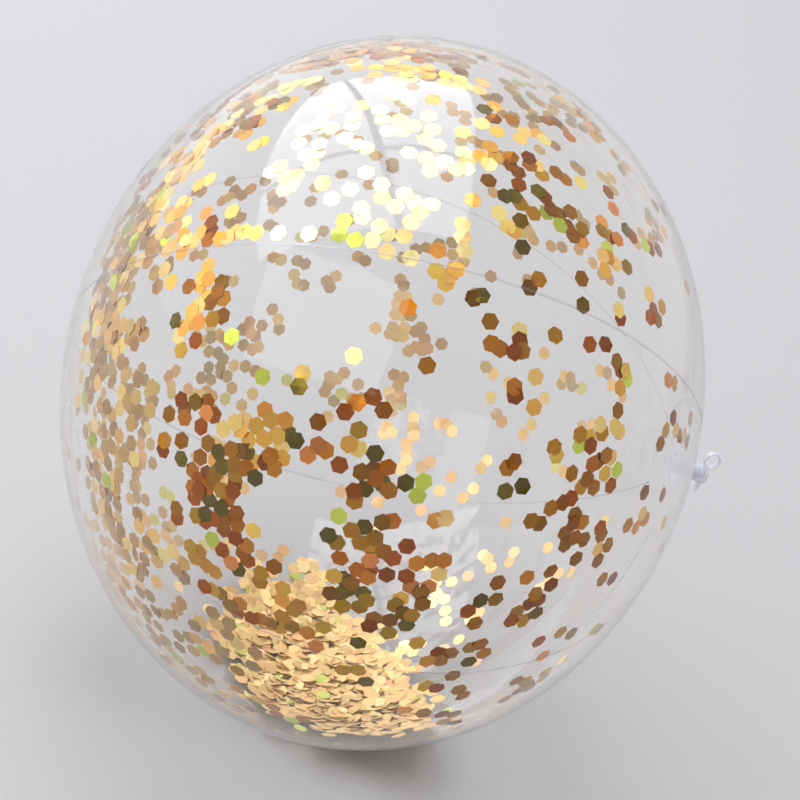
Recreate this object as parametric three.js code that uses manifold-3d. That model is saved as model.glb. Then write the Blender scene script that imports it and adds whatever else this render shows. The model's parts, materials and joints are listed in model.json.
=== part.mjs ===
// Clear inflatable beach ball with loose foil confetti inside, lying on a floor.
// Millimetres. +Z is up, the polar axis lies along X with the valve at +X, and the front is -Y.
// The origin is the middle of the small flat patch that the ball rests on.
import * as THREE from "three";
import { mergeVertices } from "three/addons/utils/BufferGeometryUtils.js";
import Module from "manifold-3d";

// The skin: six clear gores that meet on seams, and a round patch over each pole.
const EQUATOR_RADIUS = 152.5; // half of a 305 mm (12 inch) inflated ball
const POLAR_RADIUS = 135.5; // the ball is flatter along its polar axis
const FILM_THICKNESS = 0.25;
const GORE_COUNT = 6;
const FIRST_SEAM_TURN = 45; // degrees about the polar axis, from the front towards the top
const SEAM_GAP = 0.3;
const CAP_RADIUS = 30;
const FILM_HOLE_RADIUS = 8.6;

// The skin's facets straddle the resting point, so the lowest facet is the flat resting patch.
const FACETS_AROUND = 48;
const FACETS_ALONG = 21;
const FACET_TURN = 360 / FACETS_AROUND;
const FACET_TILT = 180 / FACETS_ALONG;

// The valve, measured outwards along its axis from the pole of the skin.
const FLANGE_RADIUS = 14;
const FLANGE_HOLE_RADIUS = 8;
const FLANGE_OUTER_FACE = -1.6;
const FLANGE_THICKNESS = 0.6;
const ROOT_FOOT_RADIUS = 7.1;
const ROOT_WALL = 0.5;
const ROOT_TOP = 5.5;
const STEM_RADIUS = 4;
const STEM_BORE_RADIUS = 2.6;
const STEM_INNER_END = -4;
const COLLAR_RADIUS = 4.75;
const COLLAR_FOOT = 10;
const COLLAR_TOP = 11.3;
const RUNNING_GAP = 0.3;
const PLUG_HEAD_RADIUS = 4.5;
const PLUG_HEAD_THICKNESS = 1.6;
const PLUG_NOSE_RADIUS = 2.3;
const PLUG_NOSE_LENGTH = 4.9;
const PLUG_NECK_RADIUS = 2.1;
const PLUG_BULB_LENGTH = 2;
const PLUG_CHAMFER = 0.4;
const PULL_TAB_WIDTH = 3.6;
const PULL_TAB_ROOT = 3.5; // from the axis, inside the plug's head
const PULL_TAB_REACH = 9.4;
const PULL_TAB_THICKNESS = 1.1;
const PULL_TAB_DROOP = 10; // degrees, towards the ball
const STRAP_WIDTH = 3;
const STRAP_THICKNESS = 0.8;
// The strap's middle line between its two ends: (outwards from the collar's middle, from the axis).
const STRAP_LOOP = [
  [-0.1, 7.6],
  [1.2, 10.1],
  [3.8, 10.5],
  [6, 8.9],
  [6.2, 6.3],
  [4.6, 4.1],
];
const STRAP_END_RADIUS = 3.3;
const FLAP_RADIUS = 3.4;
const FLAP_THICKNESS = 0.5;
const FLAP_LUG_WIDTH = 2.4;
const FLAP_LUG_TOP = 3.9;

// The confetti: flat foil hexagons that cling inside the skin, and a loose heap at the bottom.
const HEXAGON_ACROSS_FLATS = 6;
const HEXAGON_THICKNESS = 0.12;
const HEXAGON_PITCH = 6.5;
const CLING_DEPTH = 1.3; // from the skin's outer surface to the middle of a clinging hexagon
const HEAP_DEPTH = 2.2; // from the skin's outer surface to the outside of the heap
const HEAP_HEIGHT = 4;
const HEAP_HALF_LENGTH = 62; // along the polar axis
const HEAP_HALF_WIDTH = 72;
const HEAP_EDGE_SHARE = 0.93; // the heap ends here, short of where its thickness falls to nothing

const CONTACT_HEIGHT =
  EQUATOR_RADIUS *
  Math.cos(THREE.MathUtils.degToRad(FACET_TURN / 2)) *
  Math.cos(THREE.MathUtils.degToRad(FACET_TILT / 2));
const MERGE_DISTANCE = 1e-3;
const ROUND_SIDES = 32;
const SMALL_ROUND_SIDES = 24;
const TAB_END_SIDES = 6;
const STRAP_STEPS = 24;
const CLEAR_OF_BALL = 2 * EQUATOR_RADIUS;

const wasm = await Module();
wasm.setup();

const ball = new THREE.Group();
ball.position.z = CONTACT_HEIGHT;

const valve = new THREE.Group();
valve.position.x = POLAR_RADIUS;
valve.rotation.z = -Math.PI / 2; // the valve is drawn standing on Y, with Z up in both frames
ball.add(valve);

// ---- materials -------------------------------------------------------------------------------

function clearFilm() {
  return new THREE.MeshStandardMaterial({
    color: 0xe9edf4,
    roughness: 0.06,
    metalness: 0,
    transparent: true,
    opacity: 0.25,
  });
}

function softClearPlastic() {
  return new THREE.MeshStandardMaterial({
    color: 0xc9cde4,
    roughness: 0.22,
    metalness: 0,
    transparent: true,
    opacity: 0.6,
  });
}

function goldFoil(number) {
  const shades = [0xd9a021, 0xc98a2b, 0xb5652a, 0xe8c23a, 0x9a7a2c, 0xb9c23c];
  return new THREE.MeshStandardMaterial({
    color: shades[number % shades.length],
    roughness: 0.25,
    metalness: 0.9,
  });
}

// ---- solids ----------------------------------------------------------------------------------

function addPiece(group, name, geometry, material) {
  const mesh = new THREE.Mesh(geometry, material);
  mesh.name = name;
  group.add(mesh);
  return mesh;
}

function solidFrom(geometry) {
  const bare = geometry.index ? geometry.toNonIndexed() : geometry.clone();
  bare.deleteAttribute("normal");
  bare.deleteAttribute("uv");
  const merged = mergeVertices(bare, MERGE_DISTANCE);
  return new wasm.Manifold(
    new wasm.Mesh({
      numProp: 3,
      vertProperties: merged.getAttribute("position").array,
      triVerts: new Uint32Array(merged.index.array),
    }),
  );
}

function geometryFrom(solid) {
  const mesh = solid.getMesh();
  const geometry = new THREE.BufferGeometry();
  geometry.setAttribute("position", new THREE.BufferAttribute(mesh.vertProperties, mesh.numProp));
  geometry.setIndex(new THREE.BufferAttribute(mesh.triVerts, 1));
  const faceted = geometry.toNonIndexed();
  faceted.computeVertexNormals();
  return faceted;
}

// A spheroid like the skin's outer surface, moved inwards by a depth, as a solid about the X axis.
function spheroid(depth) {
  const profile = [];
  for (let ring = 0; ring <= FACETS_ALONG; ring += 1) {
    const tilt = THREE.MathUtils.degToRad(-90 + ring * FACET_TILT);
    const onAxis = ring === 0 || ring === FACETS_ALONG;
    const radius = onAxis ? 0 : (EQUATOR_RADIUS - depth) * Math.cos(tilt);
    profile.push(new THREE.Vector2(radius, (POLAR_RADIUS - depth) * Math.sin(tilt)));
  }
  const halfFacet = THREE.MathUtils.degToRad(FACET_TURN / 2);
  const geometry = new THREE.LatheGeometry(profile, FACETS_AROUND, halfFacet);
  return solidFrom(geometry.rotateZ(-Math.PI / 2));
}

// A round bar along X, from one x to another.
function barAlongX(radius, fromX, toX) {
  const bar = new THREE.CylinderGeometry(radius, radius, toX - fromX, ROUND_SIDES);
  bar.rotateZ(-Math.PI / 2);
  bar.translate((fromX + toX) / 2, 0, 0);
  return solidFrom(bar);
}

// A wedge about the polar axis between two seams, drawn in from each seam by half the gap.
function goreWedge(startTurn) {
  const start = THREE.MathUtils.degToRad(startTurn);
  const half = Math.PI / GORE_COUNT;
  const inset = SEAM_GAP / 2 / Math.sin(half);
  const apex = new THREE.Vector2(Math.cos(start + half), Math.sin(start + half)).multiplyScalar(inset);
  const outline = [apex];
  for (const turn of [start, start + 2 * half]) {
    const along = new THREE.Vector2(Math.cos(turn), Math.sin(turn));
    outline.push(along.multiplyScalar(CLEAR_OF_BALL).add(apex));
  }
  const prism = new THREE.ExtrudeGeometry(new THREE.Shape(outline), {
    depth: 2 * POLAR_RADIUS,
    bevelEnabled: false,
  });
  prism.translate(0, 0, -POLAR_RADIUS);
  const front = new THREE.Vector3(0, -1, 0);
  const top = new THREE.Vector3(0, 0, 1);
  const away = new THREE.Vector3(-1, 0, 0);
  prism.applyMatrix4(new THREE.Matrix4().makeBasis(front, top, away));
  return solidFrom(prism);
}

// A solid of revolution about the valve's axis, from (radius, height) points that close on themselves.
function turned(points) {
  const profile = points.map(([radius, height]) => new THREE.Vector2(radius, height));
  profile.push(profile[0].clone());
  return new THREE.LatheGeometry(profile, SMALL_ROUND_SIDES);
}

// ---- skin ------------------------------------------------------------------------------------

function makeSkin() {
  const skin = spheroid(0).subtract(spheroid(FILM_THICKNESS));
  const goresEnd = barAlongX(CAP_RADIUS + SEAM_GAP, -CLEAR_OF_BALL, CLEAR_OF_BALL);
  const gores = skin.subtract(goresEnd);
  for (let number = 1; number <= GORE_COUNT; number += 1) {
    const startTurn = FIRST_SEAM_TURN + ((number - 1) * 360) / GORE_COUNT;
    const gore = gores.intersect(goreWedge(startTurn));
    addPiece(ball, `gore_panel_${number}`, geometryFrom(gore), clearFilm());
  }
  const plainCap = skin.intersect(barAlongX(CAP_RADIUS, -CLEAR_OF_BALL, 0));
  const valveCap = skin
    .intersect(barAlongX(CAP_RADIUS, 0, CLEAR_OF_BALL))
    .subtract(barAlongX(FILM_HOLE_RADIUS, 0, CLEAR_OF_BALL));
  addPiece(ball, "end_cap_plain", geometryFrom(plainCap), clearFilm());
  addPiece(ball, "end_cap_valve", geometryFrom(valveCap), clearFilm());
}

// ---- valve -----------------------------------------------------------------------------------

// The flat ring welded inside the valve's end cap.
function makeFlange() {
  const innerFace = FLANGE_OUTER_FACE - FLANGE_THICKNESS;
  const flange = turned([
    [FLANGE_HOLE_RADIUS, innerFace],
    [FLANGE_RADIUS, innerFace],
    [FLANGE_RADIUS, FLANGE_OUTER_FACE],
    [FLANGE_HOLE_RADIUS, FLANGE_OUTER_FACE],
  ]);
  addPiece(valve, "valve_flange", flange, softClearPlastic());
}

// The thin cone between the flange and the stem, which turns inside out when the stem is pushed in.
function makeRoot() {
  const foot = FLANGE_OUTER_FACE - FLANGE_THICKNESS;
  const topRadius = STEM_RADIUS + RUNNING_GAP;
  const root = turned([
    [ROOT_FOOT_RADIUS, foot],
    [ROOT_FOOT_RADIUS + ROOT_WALL, foot],
    [topRadius + ROOT_WALL, ROOT_TOP],
    [topRadius, ROOT_TOP],
  ]);
  addPiece(valve, "valve_root", root, softClearPlastic());
}

function makeStem() {
  const stem = turned([
    [STEM_BORE_RADIUS, STEM_INNER_END],
    [STEM_RADIUS, STEM_INNER_END],
    [STEM_RADIUS, COLLAR_FOOT],
    [COLLAR_RADIUS, COLLAR_FOOT],
    [COLLAR_RADIUS, COLLAR_TOP],
    [STEM_BORE_RADIUS, COLLAR_TOP],
  ]);
  addPiece(valve, "valve_stem", stem, softClearPlastic());
}

// The plug: a bulbed nose that fills the bore, a round head, and a tab to pull it by.
function makePlug() {
  const headFoot = COLLAR_TOP + RUNNING_GAP;
  const headTop = headFoot + PLUG_HEAD_THICKNESS;
  const noseEnd = headFoot - PLUG_NOSE_LENGTH;
  const body = new THREE.LatheGeometry(
    [
      new THREE.Vector2(0, noseEnd),
      new THREE.Vector2(PLUG_NOSE_RADIUS - PLUG_CHAMFER, noseEnd),
      new THREE.Vector2(PLUG_NOSE_RADIUS, noseEnd + PLUG_BULB_LENGTH / 2),
      new THREE.Vector2(PLUG_NECK_RADIUS, noseEnd + PLUG_BULB_LENGTH),
      new THREE.Vector2(PLUG_NECK_RADIUS, headFoot),
      new THREE.Vector2(PLUG_HEAD_RADIUS, headFoot),
      new THREE.Vector2(PLUG_HEAD_RADIUS, headTop - PLUG_CHAMFER),
      new THREE.Vector2(PLUG_HEAD_RADIUS - PLUG_CHAMFER, headTop),
      new THREE.Vector2(0, headTop),
    ],
    SMALL_ROUND_SIDES,
  );
  const tab = pullTab();
  tab.translate(0, (headFoot + headTop) / 2, -PULL_TAB_ROOT);
  const plug = solidFrom(body).add(solidFrom(tab));
  addPiece(valve, "valve_plug", geometryFrom(plug), softClearPlastic());
}

// The tab, with its root at the origin, reaching towards -Z and drooping towards the ball.
function pullTab() {
  const halfWidth = PULL_TAB_WIDTH / 2;
  const straight = PULL_TAB_REACH - PULL_TAB_ROOT - halfWidth;
  const outline = new THREE.Shape();
  outline.moveTo(-halfWidth, 0);
  outline.lineTo(halfWidth, 0);
  outline.lineTo(halfWidth, straight);
  outline.absarc(0, straight, halfWidth, 0, Math.PI, false);
  const tab = new THREE.ExtrudeGeometry(outline, {
    depth: PULL_TAB_THICKNESS,
    bevelEnabled: false,
    curveSegments: TAB_END_SIDES,
  });
  tab.rotateX(-Math.PI / 2);
  tab.translate(0, -PULL_TAB_THICKNESS / 2, 0);
  return tab.rotateX(THREE.MathUtils.degToRad(-PULL_TAB_DROOP));
}

// The strap that keeps the plug on the stem: a loop from the collar's side over to the plug's head.
function makeStrap() {
  const collarMiddle = (COLLAR_FOOT + COLLAR_TOP) / 2;
  const plugTop = COLLAR_TOP + RUNNING_GAP + PLUG_HEAD_THICKNESS;
  const halfThickness = STRAP_THICKNESS / 2;
  const route = new THREE.CatmullRomCurve3([
    new THREE.Vector3(0, collarMiddle, COLLAR_RADIUS + RUNNING_GAP),
    ...STRAP_LOOP.map(([outwards, radius]) => new THREE.Vector3(0, collarMiddle + outwards, radius)),
    new THREE.Vector3(0, plugTop + RUNNING_GAP, STRAP_END_RADIUS),
  ]);
  const section = new THREE.Shape([
    new THREE.Vector2(-STRAP_WIDTH / 2, -halfThickness),
    new THREE.Vector2(STRAP_WIDTH / 2, -halfThickness),
    new THREE.Vector2(STRAP_WIDTH / 2, halfThickness),
    new THREE.Vector2(-STRAP_WIDTH / 2, halfThickness),
  ]);
  const strap = new THREE.ExtrudeGeometry(section, { steps: STRAP_STEPS, extrudePath: route });
  addPiece(valve, "valve_strap", strap, softClearPlastic());
}

// The flap that air pressure shuts against the stem's inner end, with the lug that it hangs from.
function makeCheckFlap() {
  const halfLug = FLAP_LUG_WIDTH / 2;
  const lugMeetsDisc = Math.acos(halfLug / FLAP_RADIUS);
  const outline = new THREE.Shape();
  outline.moveTo(halfLug, FLAP_LUG_TOP);
  outline.lineTo(-halfLug, FLAP_LUG_TOP);
  outline.absarc(0, 0, FLAP_RADIUS, Math.PI - lugMeetsDisc, 2 * Math.PI + lugMeetsDisc, false);
  outline.closePath();
  const flap = new THREE.ExtrudeGeometry(outline, {
    depth: FLAP_THICKNESS,
    bevelEnabled: false,
    curveSegments: SMALL_ROUND_SIDES,
  });
  flap.rotateX(Math.PI / 2); // the outline's up becomes Z, and its thickness runs along the axis
  flap.translate(0, STEM_INNER_END - RUNNING_GAP, 0);
  addPiece(valve, "valve_check_flap", flap, clearFilm());
}

// ---- confetti --------------------------------------------------------------------------------

// A point inside the skin at a depth, and the skin's outward normal there. Turn runs about the
// polar axis from the front towards the top; tilt runs from the equator towards the valve.
function placeInside(turnDegrees, tiltDegrees, depth) {
  const turn = THREE.MathUtils.degToRad(turnDegrees);
  const tilt = THREE.MathUtils.degToRad(tiltDegrees);
  const outward = new THREE.Vector3(0, -Math.cos(turn), Math.sin(turn));
  const point = outward.clone().multiplyScalar(EQUATOR_RADIUS * Math.cos(tilt));
  point.x = POLAR_RADIUS * Math.sin(tilt);
  const normal = outward.clone().multiplyScalar(Math.cos(tilt) / EQUATOR_RADIUS);
  normal.x = Math.sin(tilt) / POLAR_RADIUS;
  normal.normalize();
  point.addScaledVector(normal, -depth);
  return { point, normal };
}

function hexagonPlate() {
  const cornerRadius = HEXAGON_ACROSS_FLATS / 2 / Math.cos(Math.PI / 6);
  return new THREE.CylinderGeometry(cornerRadius, cornerRadius, HEXAGON_THICKNESS, 6);
}

// Clinging hexagons settle edge to edge, so each group fills cells of one small honeycomb.
const CHAIN_CELLS = [
  [0, 0],
  [1, 0],
  [1, 1],
  [2, 1],
  [3, 0],
];
const CLUMP_CELLS = [
  [0, 0],
  [1, 0],
  [0, 1],
  [-1, 1],
  [1, -1],
];
const CLINGING_GROUPS = [
  { turn: -2, tilt: 3, spin: 20, cells: CHAIN_CELLS },
  { turn: 8, tilt: -34, spin: 75, cells: CLUMP_CELLS },
  { turn: 62, tilt: 22, spin: 130, cells: CHAIN_CELLS },
  { turn: -28, tilt: 30, spin: 50, cells: CHAIN_CELLS },
  { turn: 22, tilt: 32, spin: 10, cells: CLUMP_CELLS },
  { turn: -34, tilt: -12, spin: 95, cells: CHAIN_CELLS },
  { turn: 120, tilt: -20, spin: 40, cells: CHAIN_CELLS },
  { turn: 175, tilt: 15, spin: 80, cells: CLUMP_CELLS },
  { turn: 215, tilt: -25, spin: 160, cells: CHAIN_CELLS },
];

function makeClingingConfetti() {
  let number = 0;
  for (const { turn, tilt, spin, cells } of CLINGING_GROUPS) {
    const spun = THREE.MathUtils.degToRad(spin);
    for (const [column, row] of cells) {
      const across = HEXAGON_PITCH * (column + row / 2);
      const up = HEXAGON_PITCH * row * Math.cos(Math.PI / 6);
      const alongTurn = across * Math.cos(spun) - up * Math.sin(spun);
      const alongTilt = across * Math.sin(spun) + up * Math.cos(spun);
      const ringRadius = EQUATOR_RADIUS * Math.cos(THREE.MathUtils.degToRad(tilt));
      const cellTurn = turn + THREE.MathUtils.radToDeg(alongTurn / ringRadius);
      const cellTilt = tilt + THREE.MathUtils.radToDeg(alongTilt / POLAR_RADIUS);
      const { point, normal } = placeInside(cellTurn, cellTilt, CLING_DEPTH);
      number += 1;
      const name = `confetti_${String(number).padStart(2, "0")}`;
      const hexagon = addPiece(ball, name, hexagonPlate(), goldFoil(number));
      hexagon.position.copy(point);
      const side = new THREE.Vector3(1, 0, 0).cross(normal).normalize();
      const frame = new THREE.Matrix4().makeBasis(normal.clone().cross(side), normal, side);
      hexagon.quaternion.setFromRotationMatrix(frame);
      hexagon.rotateY(Math.PI / 6 - spun); // flats face the neighbouring cells
    }
  }
}

// The heap: a shallow drift on the bottom of the ball. Its upper face is flatter than the skin,
// so that it meets the skin at the heap's rim.
function makeHeap() {
  const flatter = (halfSize, skinRadius) =>
    1 / (1 / skinRadius - (2 * HEAP_HEIGHT) / halfSize ** 2);
  const bottomRadius = EQUATOR_RADIUS - HEAP_DEPTH;
  const radiusAlong = flatter(HEAP_HALF_LENGTH, (POLAR_RADIUS - HEAP_DEPTH) ** 2 / bottomRadius);
  const radiusAcross = flatter(HEAP_HALF_WIDTH, bottomRadius);
  const height = (radiusAlong + radiusAcross) / 2;
  const above = new THREE.SphereGeometry(1, FACETS_AROUND, FACETS_AROUND / 2);
  above.rotateX(Math.PI / 2);
  above.scale(Math.sqrt(radiusAlong * height), Math.sqrt(radiusAcross * height), height);
  above.translate(0, 0, height - bottomRadius + HEAP_HEIGHT);
  const rim = new THREE.CylinderGeometry(1, 1, EQUATOR_RADIUS, FACETS_AROUND);
  rim.rotateX(Math.PI / 2);
  rim.scale(HEAP_HALF_LENGTH * HEAP_EDGE_SHARE, HEAP_HALF_WIDTH * HEAP_EDGE_SHARE, 1);
  rim.translate(0, 0, -EQUATOR_RADIUS);
  const heap = spheroid(HEAP_DEPTH).intersect(solidFrom(rim)).subtract(solidFrom(above));
  addPiece(ball, "confetti_heap", geometryFrom(heap), goldFoil(0));
}

makeSkin();
makeFlange();
makeRoot();
makeStem();
makePlug();
makeStrap();
makeCheckFlap();
makeClingingConfetti();
makeHeap();

export default ball;
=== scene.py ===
"""Clear inflatable beach ball with foil confetti inside: the looks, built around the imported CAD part.

Metres, +Z up, the polar axis along X with the valve at +X, the front at -Y.
A place on the skin is given by its turn and its tilt, in degrees. Turn runs about the polar axis
from the front towards the top, and tilt runs from the equator towards the valve.
"""

import json
import math

import bmesh
import bpy
import numpy as np
from mathutils import Matrix, Vector, noise


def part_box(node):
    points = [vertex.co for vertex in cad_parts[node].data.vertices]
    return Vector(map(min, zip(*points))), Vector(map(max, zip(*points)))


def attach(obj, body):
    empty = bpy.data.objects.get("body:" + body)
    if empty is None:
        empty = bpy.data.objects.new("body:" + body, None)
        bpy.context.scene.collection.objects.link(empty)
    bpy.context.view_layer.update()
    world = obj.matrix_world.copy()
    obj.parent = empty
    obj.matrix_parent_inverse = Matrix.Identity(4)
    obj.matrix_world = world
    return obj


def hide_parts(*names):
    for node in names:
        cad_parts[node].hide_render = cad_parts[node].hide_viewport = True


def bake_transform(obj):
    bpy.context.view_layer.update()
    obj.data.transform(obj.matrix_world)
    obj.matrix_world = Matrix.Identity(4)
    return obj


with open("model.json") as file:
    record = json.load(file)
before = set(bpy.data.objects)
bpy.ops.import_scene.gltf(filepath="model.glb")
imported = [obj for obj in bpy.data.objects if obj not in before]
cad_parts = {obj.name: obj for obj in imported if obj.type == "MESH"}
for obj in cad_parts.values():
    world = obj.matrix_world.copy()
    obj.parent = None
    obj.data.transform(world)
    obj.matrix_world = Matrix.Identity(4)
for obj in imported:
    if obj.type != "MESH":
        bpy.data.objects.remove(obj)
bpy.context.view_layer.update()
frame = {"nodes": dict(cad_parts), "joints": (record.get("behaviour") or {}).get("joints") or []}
JOINTS = {joint["name"]: joint for joint in frame["joints"]}
MM = 0.001

# ---- sizes, as in the CAD model ----

CENTRE = Vector(JOINTS["heap_roll"]["pos_m"])
EQUATOR_RADIUS = 152.5 * MM
POLAR_RADIUS = 135.5 * MM
FILM_THICKNESS = 0.25 * MM
GORES = 6
FIRST_SEAM_TURN = 45
CAP_RADIUS = 30 * MM
FILM_HOLE_RADIUS = 8.6 * MM
HEXAGON_CORNER = 3 * MM / math.cos(math.pi / 6)
FOIL_THICKNESS = 0.1 * MM

# ---- camera and light ----

CAMERA_DIRECTION = Vector((-0.134, -0.891, 0.434))
CAMERA_UP = Vector((-0.240, 0.454, 0.858))
CAMERA_DISTANCE = 0.839
AIM_RIGHT = 8 * MM
AIM_DOWN = 3 * MM
LENS = 87.75

WALL_LIGHT = 0.78  # the pale room behind the ball
ROOM_LIGHT = 0.52  # the dimmer room on the camera's side
BRIGHT_SIDE_LIGHT = 0.55  # added on the side that the large light stands on
BRIGHT_SIDE = Vector((-0.73, 0.60, 0.28))
BACKDROP_LIGHT = 0.72
FLOOR_RADIUS = 40
FLOOR_SIDES = 128


def put_in_scene(name, data):
    thing = bpy.data.objects.new(name, data)
    bpy.context.scene.collection.objects.link(thing)
    return thing


def new_mesh(name, points, faces):
    mesh = bpy.data.meshes.new(name)
    mesh.from_pydata(points, [], faces)
    return mesh


def link_mesh(mesh, material):
    """A piece with the same name as its mesh."""
    mesh.materials.append(material)
    return put_in_scene(mesh.name, mesh)


def make_camera():
    back = CAMERA_DIRECTION.normalized()
    right = CAMERA_UP.cross(back).normalized()
    up = back.cross(right)
    eye = CENTRE + back * CAMERA_DISTANCE
    aim = CENTRE + right * AIM_RIGHT - up * AIM_DOWN
    back = (eye - aim).normalized()
    right = up.cross(back).normalized()
    up = back.cross(right)
    data = bpy.data.cameras.new("camera")
    data.lens = LENS
    data.clip_start = 0.01
    data.clip_end = 100
    camera = put_in_scene("camera", data)
    turn = Matrix((right, up, back)).transposed().to_4x4()
    camera.matrix_world = Matrix.Translation(eye) @ turn
    bpy.context.scene.camera = camera


def plane_axes(across, along):
    """A plane's two directions, made square to each other, and the direction behind its face."""
    across = across.normalized()
    along = (along - across * along.dot(across)).normalized()
    return across, along, across.cross(along)


def soft_panel(name, middle, across, along, width, height, radiance, colour):
    """A flat soft light whose face is turned to the ball."""
    data = bpy.data.lights.new(name, "AREA")
    data.shape = "RECTANGLE"
    data.size = width
    data.size_y = height
    data.energy = radiance * math.pi * width * height
    data.color = colour
    lamp = put_in_scene(name, data)
    turn = Matrix(plane_axes(across, along)).transposed().to_4x4()
    lamp.matrix_world = Matrix.Translation(CENTRE + middle) @ turn
    lamp.visible_camera = False


WINDOW = {
    "middle": Vector((-1.20, 2.37, 3.155)),
    "across": Vector((0.896, -0.14, 0.42)),
    "along": Vector((-0.06, 0.98, 0.22)),
    "width": 3.56,
    "height": 6.0,
    "radiance": 3.55,
    "colour": (0.95, 0.975, 1.0),
}
FILL = {
    "middle": Vector((-1.41, -1.35, 1.40)),
    "across": Vector((0.788, -0.563, 0.250)),
    "along": Vector((0.186, 0.604, 0.775)),
    "width": 2.3,
    "height": 1.45,
    "radiance": 1.7,
    "colour": (1.0, 1.0, 1.0),
}
WINDOW_BAR_WIDTH = 0.11
WINDOW_BAR_GAP = 0.05  # between the bars and the window
# The bars' ends on the window, in metres across and along it from its middle.
WINDOW_BARS = (((-1.16, 3.0), (0.62, -3.0)), ((-1.78, -1.75), (1.78, -1.3)))


def make_lights():
    """One large window-like soft light behind two narrow bars, and a fill near the camera."""
    soft_panel("window", **WINDOW)
    soft_panel("fill", **FILL)
    across, along, behind = plane_axes(WINDOW["across"], WINDOW["along"])
    in_front = CENTRE + WINDOW["middle"] - behind * WINDOW_BAR_GAP
    corners, faces = [], []
    for start, end in WINDOW_BARS:
        start = in_front + across * start[0] + along * start[1]
        end = in_front + across * end[0] + along * end[1]
        side = behind.cross(end - start).normalized() * WINDOW_BAR_WIDTH / 2
        faces.append(tuple(range(len(corners), len(corners) + 4)))
        corners += [start - side, start + side, end + side, end - side]
    bars = link_mesh(new_mesh("window_bars", corners, faces), BAR_PAINT)
    bars.visible_camera = False


def make_world():
    """A pale room, brighter behind the ball and on the large light's side, with an even backdrop."""
    world = bpy.data.worlds.new("studio")
    bpy.context.scene.world = world
    t = Tree(world, "OutputWorld")
    direction = t.add("TexCoord").outputs["Generated"]
    shares = []
    for towards, low, high, dim, bright in (
        (Vector((0, 1, 0)), -0.6, 0.5, ROOM_LIGHT, WALL_LIGHT),
        (BRIGHT_SIDE.normalized(), 0.35, 0.95, 0.0, BRIGHT_SIDE_LIGHT),
    ):
        along = t.vector_maths("DOT_PRODUCT", direction, towards).outputs["Value"]
        shares.append(t.remap(along, low, high, dim, bright, "SMOOTHSTEP"))
    room = t.add("Background", Color=(1.0, 0.985, 0.97, 1), Strength=t.maths("ADD", *shares))
    seen = t.add("Background", Color=(0.99, 0.985, 1.0, 1), Strength=BACKDROP_LIGHT)
    t.finish(t.mix_shaders(t.add("LightPath").outputs["Is Camera Ray"], room, seen))


# ---- node helpers ----


class Tree:
    """The node tree of a material or a world, with short calls to add and join nodes."""

    def __init__(self, owner, output):
        owner.use_nodes = True
        self.owner = owner
        self.nodes = owner.node_tree.nodes
        self.links = owner.node_tree.links
        self.nodes.clear()
        self.out = self.add(output)

    def add(self, kind, settings=None, **inputs):
        """A new node. An input is given by its name, or by its number after an underscore."""
        node = self.nodes.new("ShaderNode" + kind)
        for key, value in (settings or {}).items():
            setattr(node, key, value)
        for key, value in inputs.items():
            self.put(node, key.replace("_", " ").strip(), value)
        return node

    def put(self, node, socket, value):
        target = node.inputs[int(socket)] if socket.isdigit() else node.inputs[socket]
        if isinstance(value, bpy.types.NodeSocket):
            self.links.new(value, target)
        else:
            target.default_value = value

    def maths(self, operation, first, second=0.0, third=0.0):
        return self.add("Math", {"operation": operation}, _0=first, _1=second, _2=third).outputs[0]

    def vector_maths(self, operation, first, second=(0, 0, 0)):
        return self.add("VectorMath", {"operation": operation}, _0=first, _1=second)

    def remap(self, value, low, high, to_low, to_high, kind="LINEAR"):
        settings = {"interpolation_type": kind}
        return self.add("MapRange", settings, _0=value, _1=low, _2=high, _3=to_low, _4=to_high).outputs[0]

    def mix_colour(self, share, first, second, blend="MIX"):
        settings = {"data_type": "RGBA", "blend_type": blend}
        return self.add("Mix", settings, _0=share, _6=first, _7=second).outputs[2]

    def mix_shaders(self, share, first, second):
        return self.add("MixShader", _0=share, _1=first.outputs[0], _2=second.outputs[0])

    def place(self):
        return self.add("TexCoord").outputs["Object"]

    def noise(self, scale, detail=2.0, roughness=0.5):
        node = self.add("TexNoise", Vector=self.place(), Scale=scale, Detail=detail, Roughness=roughness)
        return node.outputs["Fac"]

    def bump(self, height, strength, distance):
        return self.add("Bump", Height=height, Strength=strength, Distance=distance).outputs[0]

    def finish(self, shader):
        self.links.new(shader.outputs[0], self.out.inputs["Surface"])
        return self.owner


def material_tree(name):
    return Tree(bpy.data.materials.new(name), "OutputMaterial")


# ---- materials ----


def thin_clear_film(name, tint, mirror, roughness, haze):
    """Film that light passes straight through, with a mirror gloss that grows towards grazing."""
    t = material_tree(name)
    facing = t.add("LayerWeight", Blend=0.5).outputs["Facing"]
    grazing = t.maths("POWER", facing, 5.0)
    share = t.maths("MULTIPLY_ADD", grazing, 1 - mirror, mirror)
    marks = t.noise(55.0, 4.0, 0.6)
    gloss_roughness = t.remap(marks, 0.3, 0.75, roughness * 0.6, roughness * 1.8)
    gloss = t.add("BsdfGlossy", Color=(1, 1, 1, 1), Roughness=gloss_roughness)
    clear = t.add("BsdfTransparent", Color=(*tint, 1))
    body = t.add("BsdfDiffuse", Color=(0.86, 0.86, 0.90, 1))
    cloud = t.remap(marks, 0.35, 0.8, haze * 0.4, haze * 1.6)
    return t.finish(t.mix_shaders(share, t.mix_shaders(cloud, clear, body), gloss))


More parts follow.
